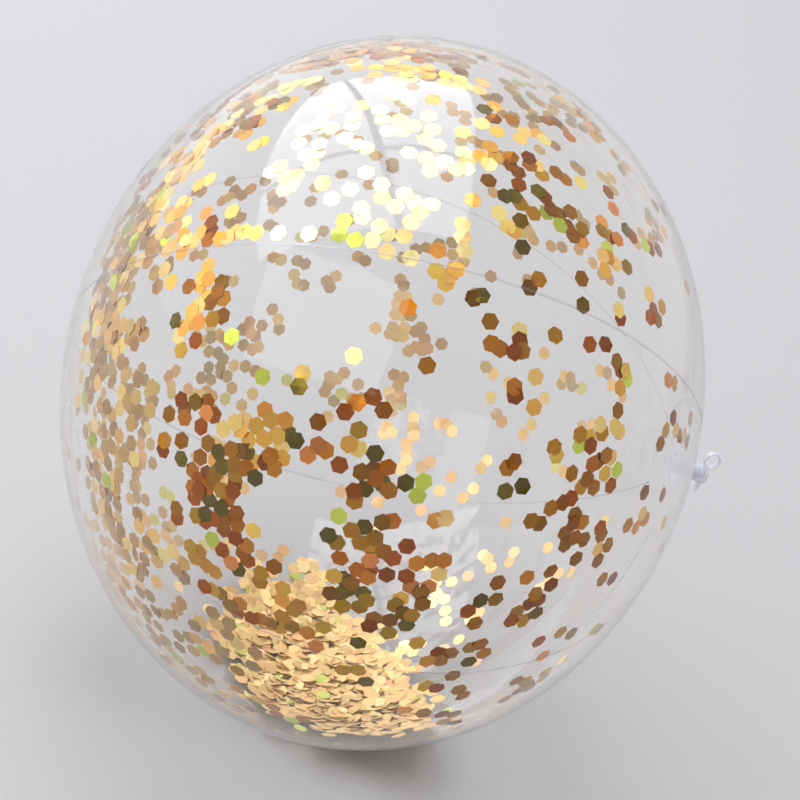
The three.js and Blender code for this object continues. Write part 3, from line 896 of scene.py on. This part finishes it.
# Trails of clinging hexagons on the skin: the turn and tilt where each starts, how far it runs in turn
# and tilt, how many, the trail's half width in millimetres unless it is 1, and the tone.
# A single hexagon has only its turn, tilt and tone.
FRONT_TRAILS = (
    (31, -3, D), (36, 10, 0, 2, 3, 2, C), (34, 14, -5, 1, 2, 0.5, G), (32, 11, -2, 1, 2, C),
    (25, 20, -2, 1, 2, M), (26, 24, 3, 5, 7, 3, M), (25, 31, M), (29, 33, 3, -2, 2, M),
    (21, 26, -1, 4, 5, 3, C), (21, 14, -1, 0, 2, C), (18, 17, -2, -5, 2, 0.5, D), (13, 19, 0, 2, 2, D),
    (15, 22, 2, 4, 3, C), (14, 29, -3, 2, 9, 5, M), (10, 34, -4, 3, 4, 3, M), (7, 31, M),
    (2, 38, -1, 5, 2, M), (12, 40, 3, 7, 4, 2, M), (19, 41, 0, 11, 2, M), (31, 45, 4, 2, 4, 3, M),
    (33, 50, 1, 4, 4, 3, M), (39, 31, -2, 0, 3, M), (42, 43, 1, 2, 2, M), (4, 18, -8, -4, 5, 2, D),
    (4, 22, -1, 1, 2, C), (5, 26, -2, 2, 2, D), (1, 24, -1, 3, 2, C), (-4, 21, 2, 5, 5, 2, D),
    (-8, 17, -4, 3, 4, 3, B), (-12, 10, 1, 5, 6, 2, B), (-9, 8, B), (-2, 6, -4, -4, 8, 4, D),
    (4, 2, 1, 6, 3, C), (1, 2, -2, 3, 3, 3, D), (1, -1, 3, 0, 3, 2, C), (12, 7, -2, -4, 2, 0.5, G),
    (17, -5, -3, -1, 2, C), (14, -4, 1, 2, 3, 2, D), (16, 0, -1, 2, 2, L), (13, 1, G),
    (10, -4, -2, 0, 2, 2, D), (-10, 30, B), (-9, 34, -2, 3, 2, B), (-14, 44, -2, 2, 2, M),
    (-17, 12, -5, 8, 5, 6, B), (-26, 14, -4, 8, 4, 4, B), (-20, 28, -4, 6, 3, 3, B),
    (-16, -2, -4, 6, 3, 4, B), (9, -41, -4, 0, 2, 0.5, C), (10, -38, -4, 1, 2, 0.5, D),
    (12, -42, 3, 5, 5, 2, D), (14, -36, 3, 2, 4, 2, C), (14, -32, 2, 3, 3, 1.5, G),
    (12, -30, 0, 4, 6, 3, D), (16, -27, 2, 4, 7, 2.5, G), (15, -26, -2, -1, 2, G),
    (14, -24, -2, 2, 3, 2, C), (17, -22, -1, 3, 2, D), (13, -21, -1, -1, 2, G), (15, -17, G),
    (17, -16, -1, 1, 2, C), (15, -12, D), (20, -17, 1, 0, 2, C), (23, -14, 2, 4, 4, 2, C),
    (20, -10, -2, -1, 3, 2, M), (24, -21, D), (24, -27, L), (26, -21, G), (30, -14, G),
    (12, -10, -1, 3, 4, 1.5, D), (14, -9, 2, 3, 4, 2, D), (3, -34, 3, 3, 5, 2.5, C), (8, -31, 0, 1, 2, D),
    (6, -27, 2, 1, 4, 1.5, C), (9, -24, D), (2, -33, 2, 5, 6, 2.5, D), (0, -32, 1, 5, 5, 2, C),
    (3, -26, -3, 0, 4, 2, C), (-1, -27, -2, 5, 6, 2, C), (1, -22, G), (-2, -36, -3, 1, 2, 0.5, C),
    (-7, -31, -2, 1, 3, 1.5, B), (-4, -28, L), (-9, -29, 0, 3, 3, B), (-5, -24, -1, 2, 2, B),
    (-2, -17, -5, -2, 3, 1.5, D), (-6, -15, -2, 1, 3, 1.5, G), (-7, -12, -2, 0, 2, B),
    (5, -11, -1, 2, 2, 0.5, D), (2, -8, C), (7, -8, -2, 3, 4, 2, D), (8, -10, L), (-1, -8, G),
    (4, -4, -4, 1, 5, 3, C), (-3, -8, -2, 2, 3, 2, D), (-3, -6, 1, 3, 5, 3, D), (-4, -3, -1, 1, 2, C),
    (-10, -7, B), (-12, -9, B), (-14, -7, B), (-11, -1, B), (-13, -28, -1, 8, 6, B),
    (-14, -18, 1, 6, 8, 1.5, B), (-12, -36, -1, 5, 5, 2.5, T), (-11, -43, -4, 5, 5, 3, T),
    (-17, -42, -2, 6, 6, 3, T), (28, -60, -16, -2, 16, 6, T), (18, -52, -12, 2, 16, 7, T),
    (4, -56, -12, 6, 18, 8, T), (-6, -58, -10, 8, 14, 6, T), (-18, -50, -8, 14, 17, 8, T),
    (-24, -32, -4, 12, 13, 7, T), (-32, -40, -4, 14, 14, 8, T), (-18, -26, -4, 12, 7, 4, T),
    (32, -43, 2, 2, 2, G), (37, -41, 5, 0, 3, G), (37, -44, D), (39, -38, -7, 0, 6, 2, D),
    (30, -41, -4, -3, 4, 2, G), (27, -40, C), (30, -45, D), (40, -53, 1, 3, 2, T), (37, -51, 0, 1, 2, T),
    (38, -48, G), (38, -64, -4, 2, 3, 2, T), (27, -56, -1, 3, 6, 3, T), (23, -61, -1, 5, 5, 3, G),
    (29, -67, -5, 0, 3, 2, G), (52, -53, -1, 3, 3, 2, T), (52, -48, G), (48, -50, -1, 5, 6, 2, G),
    (49, -44, -2, 2, 3, 1.5, D), (47, -41, 0, 7, 6, 1.5, G), (47, -56, -1, 3, 6, 3, T),
    (55, -52, 3, 3, 4, 1.5, G), (61, -56, 0, 2, 2, G), (61, -48, 1, 3, 2, G), (66, -60, -2, 3, 8, 4, T),
    (55, -64, 6, 1, 6, 3, T), (82, -57, -4, 4, 5, 2, G), (74, -51, -2, 2, 4, 2, G),
    (76, -49, 4, 6, 9, 2, G), (79, -38, -2, 5, 7, 1.5, M), (75, -39, -2, 1, 6, 2.5, M),
    (67, -38, 0, 2, 2, G), (84, -35, -1, 5, 6, 1.5, P), (81, -36, P), (88, -43, -2, 3, 6, 3, M),
    (90, -30, 0, 5, 6, 2, M), (89, -23, -4, 2, 3, 1.5, G), (61, -33, -6, 4, 6, 2, P), (52, -39, G),
    (47, -25, P), (47, -30, P), (48, -21, -1, 3, 3, 2, L), (55, -26, -1, 5, 3, 2, P), (58, -18, P),
    (52, -19, -1, 2, 2, P), (71, -30, -5, 10, 18, 8, P), (72, -18, -6, 10, 12, 8, P),
    (62, -28, -2, 2, 3, 2, P), (84, -20, -3, 12, 14, 3, G), (90, -20, -1, 14, 9, 4, M),
    (96, -28, 1, 16, 8, 4, M), (67, -14, P), (61, -10, 0, 6, 4, 2, P), (54, -16, -2, 8, 9, 4, P),
    (49, -15, -2, 5, 5, 3, P), (47, -5, G), (80, -8, -1, 6, 5, 1.2, P), (82, -1, G), (76, 1, G),
    (75, -2, -2, 3, 2, D), (74, 4, D), (71, -2, -1, 4, 2, 0.8, G), (68, -4, C), (72, 6, -1, -1, 2, G),
    (72, 10, 1, -1, 2, G), (65, -4, -3, 2, 3, P), (67, 1, -4, 0, 4, 2, G), (66, 4, -3, 1, 3, D),
    (67, 7, -2, 2, 4, 1.5, M), (67, 9, -2, -2, 2, G), (60, 1, D), (61, 6, C), (62, 9, -3, 4, 4, D),
    (66, 12, 0, 2, 2, C), (67, 17, G), (58, 3, 0, 3, 3, 1.5, D), (56, 3, -3, 3, 3, G), (55, 7, D),
    (57, 9, C), (51, 8, D), (59, 11, -2, 2, 2, L), (58, 15, -1, 1, 3, 1.5, D), (59, 17, -3, 3, 3, M),
    (60, 21, 0, 4, 3, 1.5, M), (56, 23, 0, 1, 3, 1.5, M), (56, -1, G), (52, -2, -4, 1, 3, 0.8, P),
    (45, -1, -2, -3, 4, 1.5, G), (41, 1, 1, 2, 2, 0.5, D), (39, 5, D), (45, 10, 3, 2, 2, 0.3, D),
    (50, 19, D), (46, 20, D), (49, 27, -3, 1, 2, 0.5, M), (51, 35, 2, 2, 4, 2, M), (55, 34, M), (39, 10, G),
    (36, 5, 0, 3, 2, 0.5, C), (40, 16, D), (40, 22, 2, 4, 2, 0.5, D), (40, 28, -1, 3, 3, M), (66, 24, G),
    (64, 27, 0, 1, 2, M), (65, 32, -1, 2, 3, 2, M), (90, 12, -6, 10, 8, 6, M), (80, 10, -4, 4, 4, 3, M),
    (36, -64, 12, 3, 8, 4, T), (50, -60, 10, 3, 8, 4, T), (62, -56, 10, 7, 10, 4, T),
    (74, -47, 6, 6, 6, 3, D), (19, -63, 11, 2, 8, 4, T), (4, -63, 10, 1, 7, 4, T), (12, -27, 4, 7, 4, 3, G),
    (30, -42, 8, 2, 4, 2.5, G), (2, -31, 6, 2, 5, 3, D), (93, -38, -2, 26, 20, 3, B),
    (96, -30, -2, 30, 14, 3, B), (14, -67, 16, -2, 8, 3, T), (32, -69, 14, 0, 8, 3, T),
    (50, -69, 18, 1, 8, 3, T), (70, -66, 10, 6, 7, 3, B), (82, -62, 10, 6, 6, 3, M),
    (94, -56, 6, 6, 6, 3, T), (92, -46, 4, 8, 5, 3, B), (97, -30, -1, 20, 6, 4, D),
    (-36, -30, -6, 16, 10, 5, T),
)
BACK_TRAILS = (
    (-158, 12, 5, 0, 8, 4, M), (-152, 17, 12, 0, 7, 1.5, G), (-151, 21, 1, 5, 3, G),
    (-146, 11, -1, 2, 3, 2, G), (-166, 27, 2, 6, 2, M), (-160, 31, 5, 5, 3, 2, M), (-156, 43, 3, -2, 2, G),
    (-163, 44, G), (-147, 35, 4, -2, 2, G), (-139, 33, 3, -2, 2, G), (-141, 28, 6, -4, 2, G),
    (-141, 21, 0, 0, 2, M), (-123, 37, 4, 1, 2, G), (-122, 45, 3, -2, 2, G), (-120, 52, G),
    (-117, 32, -2, -7, 3, 3, G), (-116, 26, 9, 5, 6, 3, G), (-107, 39, 4, -4, 2, G),
    (-106, 49, -3, 9, 4, 2, G), (-122, 66, G), (-146, 50, 2, 5, 2, M), (-157, 53, -6, 6, 2, M),
    (-169, 46, -1, 3, 4, 2, M), (-170, 52, L), (-178, 53, -1, 6, 3, 2, M), (-98, 34, -3, -13, 5, 5, G),
    (-155, -4, 5, 6, 12, 5, M), (-148, -19, 4, -2, 2, M), (-152, -12, L), (-149, -31, -3, 4, 10, 4, M),
    (-146, -30, 1, 1, 3, M), (-142, -35, -2, 3, 4, 2, G), (-148, -39, 4, 0, 4, 2, G),
    (-143, -48, 4, -4, 5, 4, M), (-142, -42, 2, -2, 5, 3, M), (-123, -41, 3, -5, 8, 3, M),
    (-117, -43, 4, 1, 4, 2, M), (-110, -38, 3, 2, 5, 3, M), (-120, -35, 1, 2, 3, 2, L),
    (-112, -33, 3, 3, 7, 3, M), (-113, -23, -3, 6, 3, 2, M), (-113, -14, 1, 2, 3, 2, G),
    (-119, -9, 12, 0, 3, 2, M), (-116, 0, -2, 1, 3, G), (-105, -3, -7, 1, 6, 4, G), (-110, -11, 1, 1, 2, G),
    (168, -35, 2, 2, 4, 2, M), (170, -38, 0, 1, 2, M), (174, -34, 4, 0, 5, 2, M), (170, -26, 3, 1, 5, 2, M),
    (177, -25, 1, 1, 2, M), (180, -18, -3, 6, 3, M), (-176, -17, 5, 2, 5, 1.5, M),
    (-176, -22, 1, 1, 3, 1.5, M), (-179, -4, 1, 1, 2, M), (-174, -7, 3, -1, 3, M), (-170, -32, 0, 2, 2, M),
    (-165, -20, 4, 5, 3, 2, M), (-162, -25, 4, 4, 8, 3, M), (-176, -42, 0, 3, 3, M),
    (-174, -48, 0, 1, 2, M), (-157, -33, 1, 2, 5, 3, M), (174, -17, -8, -1, 2, M),
    (154, -21, 5, 14, 4, 4, G), (172, -58, 1, 2, 4, 3, T), (178, -55, 0, 4, 7, 3, T),
    (154, -56, 1, 3, 7, 4, T), (159, -60, 1, 2, 6, 4, T), (161, -44, 5, -2, 4, 3, M),
    (164, -64, -1, 3, 8, 5, T), (178, -67, -2, 2, 6, 5, T), (138, -42, 0, 4, 8, 4, M),
    (134, -50, 0, 4, 8, 5, M), (138, -25, 2, 1, 4, 2, M), (134, -21, 0, 1, 2, M), (133, -36, 0, 2, 3, 2, M),
    (125, -27, 0, 2, 4, 2, M), (120, -28, 2, 6, 6, 3, M), (124, 1, 5, 1, 5, 2, M), (134, -3, 0, 1, 3, 2, M),
    (127, -7, 0, 2, 2, M), (119, -15, 2, 15, 9, 3, M), (132, -12, 6, 7, 4, 3, M), (117, 8, 0, 3, 4, 2, M),
    (126, 10, -5, 4, 4, 2, M), (129, 13, 1, 2, 5, 2, M), (137, 13, 0, 4, 3, 2, M), (134, 8, 0, 2, 3, 2, M),
    (126, 17, 0, 3, 5, 3, M), (132, 17, 1, 3, 4, 2, M), (122, 20, -4, 2, 5, 2, M),
    (116, 23, -1, 4, 4, 3, M), (122, 24, 0, 3, 4, 3, M), (133, 27, 9, -5, 2, M), (148, 16, 1, 1, 2, M),
    (137, 30, 0, 1, 3, M), (132, 35, -3, 3, 5, 2, G), (120, 33, -2, 3, 4, 3, M), (121, 46, 0, 3, 6, 4, M),
    (132, 45, -3, 8, 2, G), (149, 36, 0, 3, 3, M), (162, 27, 0, 2, 4, 1.5, M), (163, 32, -6, 8, 3, C),
    (174, 25, 8, -3, 2, M), (-175, 15, G), (158, 45, -3, 3, 2, M), (-177, 6, 1, 1, 3, M),
    (-173, 8, 3, 0, 7, 2, G), (-174, 10, G), (-166, 7, 0, 1, 3, M), (-167, 10, -1, 3, 6, 2, M),
    (-163, 12, -2, 4, 5, 2, M), (161, -2, -1, -2, 2, M), (-180, 4, -6, 8, 4, M), (151, -5, -7, -1, 4, 3, G),
    (141, 3, 2, 4, 4, 2, G), (147, 8, 1, 1, 3, 2, G), (-100, -55, 12, 17, 30, 12, M),
    (-84, -48, 8, 12, 24, 10, M), (-128, -55, 12, -3, 16, 8, T), (-166, -66, -12, 3, 8, 5, T),
    (172, -60, -9, 3, 8, 5, T), (160, -55, -10, 7, 8, 4, T), (-140, -58, -10, -4, 14, 7, T),
    (-160, -62, -10, -2, 12, 6, T), (-134, -46, 6, 4, 8, 5, M), (-136, -26, 12, 10, 10, 4, G),
    (-116, -14, 2, 6, 5, 3, G), (128, -30, -4, 30, 14, 4, T),
)
SINGLE = (0, 0, 1, 0)  # the run in turn and tilt, the number and the half width of a single hexagon
LOOSE_SINGLES = 90
CAD_HEXAGON_DEPTH = 1.3 * MM  # of the CAD's hexagons under the skin's outer face
CLOSEST = 5.2 * MM  # between the middles of two hexagons that lie side by side
STACKED = 3.1 * MM  # between the middles of two hexagons that overlap
STACK_SHARE = 0.14
CLING_TOP = 0.45 * MM
CLING_LAYER = 0.17 * MM
CLING_LAYERS = 4
CLING_PUCKER = 0.6  # how closely the hexagons follow the film's tucks
HIGHEST_TILT = 72
REST_CLEAR_RADIUS = 22 * MM
FLAT_LEAN = math.radians(1.4)
LIFTED_LEAN = math.radians(4.5)
LIFTED_SHARE = 0.25
ATTEMPTS = 14  # at placing one hexagon of a trail
EASY_ATTEMPTS = 8  # after these it may lie on another one


class Scatter:
    """Hexagons placed on the skin so far, each in its layer. The ones given at first lie in layer 0."""

    def __init__(self, rng, middles):
        self.rng = rng
        self.middles = np.array(middles)
        self.layers = [0] * len(middles)
        self.placed = []
        self.tones = []

    def try_at(self, turn, tilt, may_stack, tone="mixed"):
        if abs(tilt) > HIGHEST_TILT:
            return False
        point, _ = on_skin(np.array(float(turn)), np.array(float(tilt)), np.array(0.0))
        if point[2] < CENTRE.z and math.hypot(point[0], point[1]) < REST_CLEAR_RADIUS:
            return False
        distance = np.linalg.norm(self.middles - point, axis=1)
        under = np.nonzero(distance < CLOSEST)[0]
        if distance.min() < STACKED or (len(under) and not may_stack):
            return False
        layer = max((self.layers[i] + 1 for i in under), default=0)
        if layer >= CLING_LAYERS:
            return False
        self.middles = np.vstack([self.middles, point])
        self.layers.append(layer)
        self.placed.append((turn, tilt, layer))
        self.tones.append(tone)
        return True

    def lay_trail(self, tone, turn, tilt, turn_run, tilt_run, count, half_width=1):
        """Hexagons along a line on the skin, set off to either side of it, some on top of others."""
        rng = self.rng
        across = half_width * MM / EQUATOR_RADIUS
        for number in range(count):
            for attempt in range(ATTEMPTS):
                share = 0.5 if count == 1 else (number + rng.uniform(0.1, 0.9)) / count
                aside = np.degrees(rng.normal(0, 0.65, 2) * across * (1 + attempt / 9))
                tilt_here = tilt + share * tilt_run + aside[1]
                ring = math.cos(math.radians(min(abs(tilt_here), 80)))
                turn_here = turn + share * turn_run + aside[0] / ring
                may_stack = attempt >= EASY_ATTEMPTS or rng.random() < STACK_SHARE
                if self.try_at(turn_here, tilt_here, may_stack, tone):
                    break

    def sprinkle(self, count):
        """Single hexagons anywhere on the skin, evenly by area."""
        made = 0
        while made < count:
            turn = self.rng.uniform(-180, 180)
            tilt = math.degrees(math.asin(self.rng.uniform(-0.93, 0.93)))
            made += self.try_at(turn, tilt, self.rng.random() < STACK_SHARE)


CAD_HEXAGONS = sorted(name for name in frame["nodes"] if name[:9] == "confetti_" and name != "confetti_heap")


def make_clinging_confetti():
    rng = np.random.default_rng(11)
    taken = []
    for name in CAD_HEXAGONS:
        low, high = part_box(name)
        outward = ((low + high) / 2 - CENTRE).normalized()
        taken.append(((low + high) / 2 + outward * CAD_HEXAGON_DEPTH)[:])
    scatter = Scatter(rng, taken)
    for trail in FRONT_TRAILS + BACK_TRAILS:
        turn, tilt, *run, tone = trail
        scatter.lay_trail(tone, turn, tilt, *(run or SINGLE))
    scatter.sprinkle(LOOSE_SINGLES)
    turns, tilts, layers = np.array(scatter.placed).T
    depth = CLING_TOP + layers * CLING_LAYER + pucker(turns, tilts) * CLING_PUCKER
    count = len(turns)
    piece = hexagons(
        "clinging_confetti",
        *on_skin(turns, tilts, depth),
        rng.uniform(0, math.pi / 3, count),
        pick_shades(rng, scatter.tones),
        rng,
        rng.normal(0, 1, (count, 2))
        * np.where(rng.random((count, 1)) < LIFTED_SHARE, LIFTED_LEAN, FLAT_LEAN),
        FOIL,
    )
    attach(piece, "skin")


def finish_single_confetti():
    """The CAD's own hexagons keep their shape and get foil, each in its own shade."""
    rng = np.random.default_rng(5)
    for name in CAD_HEXAGONS:
        node = frame["nodes"][name]
        node["foil_shade"] = [float(v) for v in pick_shades(rng, ["mixed"])[0]]
        paint(node, CAD_FOIL)


def paint(node, material):
    node.data.materials.clear()
    node.data.materials.append(material)


HEAP_COUNT = 1250
HEAP_DEPTH = 2.35 * MM
HEAP_HEIGHT = 4.8 * MM
HEAP_HALF_LENGTH = 44 * MM
HEAP_HALF_WIDTH = 50 * MM
HEAP_SHIFT = 11 * MM
HEAP_SKEW = 0.5
HEAP_CROWDING = 0.62  # over 0.5, the hexagons crowd towards the heap's middle
HEAP_STRAYS = 0.16  # the share that lies scattered round its rim
STRAY_START = 0.93
STRAY_SPREAD = 0.17
STRAY_REACH = 0.4
# Painted shade: the heap's shades are darkened overall against the strong light from above.
HEAP_PAINTED_DIMMING = 0.83


def make_heap():
    """Loose hexagons lying on the bottom in a shallow drift, thinning out to singles at its rim."""
    rng = np.random.default_rng(23)
    places, leans = [], []
    while len(places) < HEAP_COUNT:
        radius = rng.random() ** HEAP_CROWDING
        if rng.random() < HEAP_STRAYS:
            radius = STRAY_START + min(STRAY_REACH, abs(rng.normal(0, STRAY_SPREAD)))
        angle = rng.uniform(0, 2 * math.pi)
        wander = 1 + 0.05 * math.sin(3 * angle + 0.6) + 0.04 * math.sin(7 * angle)
        x = HEAP_HALF_LENGTH * radius * wander * math.cos(angle)
        y = HEAP_HALF_WIDTH * radius * wander * math.sin(angle) + HEAP_SKEW * x
        x += HEAP_SHIFT
        height = HEAP_HEIGHT * max(0.0, 1 - radius**2) * rng.random()
        tilt = math.degrees(math.asin(x / POLAR_RADIUS))
        turn = -90 + math.degrees(math.asin(y / (EQUATOR_RADIUS * math.cos(math.radians(tilt)))))
        tip = min(0.5, (height + 0.6 * MM) / HEXAGON_CORNER)
        places.append((turn, tilt, HEAP_DEPTH + height))
        leans.append(rng.normal(0, tip * 0.5, 2).clip(-tip, tip))
    piece = hexagons(
        "heap_confetti",
        *on_skin(*np.array(places).T),
        rng.uniform(0, math.pi / 3, HEAP_COUNT),
        # darkened as painted shade
        pick_shades(rng, ["heap"] * HEAP_COUNT) * HEAP_PAINTED_DIMMING,
        rng,
        leans,
        LOOSE_FOIL,
    )
    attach(piece, "confetti_heap")
    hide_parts("confetti_heap")


# ---- stage ----


def make_floor():
    """A wide round floor, so that its edge is a level horizon from every side."""
    angles = [2 * math.pi * i / FLOOR_SIDES for i in range(FLOOR_SIDES)]
    rim = [(FLOOR_RADIUS * math.cos(a), FLOOR_RADIUS * math.sin(a), 0) for a in angles]
    floor = link_mesh(new_mesh("floor", rim, [tuple(range(FLOOR_SIDES))]), floor_paint())
    floor.location.z = -0.02 * MM


make_camera()
make_world()
make_lights()
make_film()
make_welds()
make_valve()
make_clinging_confetti()
finish_single_confetti()
make_heap()
make_floor()

bpy.context.scene.view_settings.view_transform = "Standard"
bpy.context.scene.cycles.transparent_max_bounces = 24
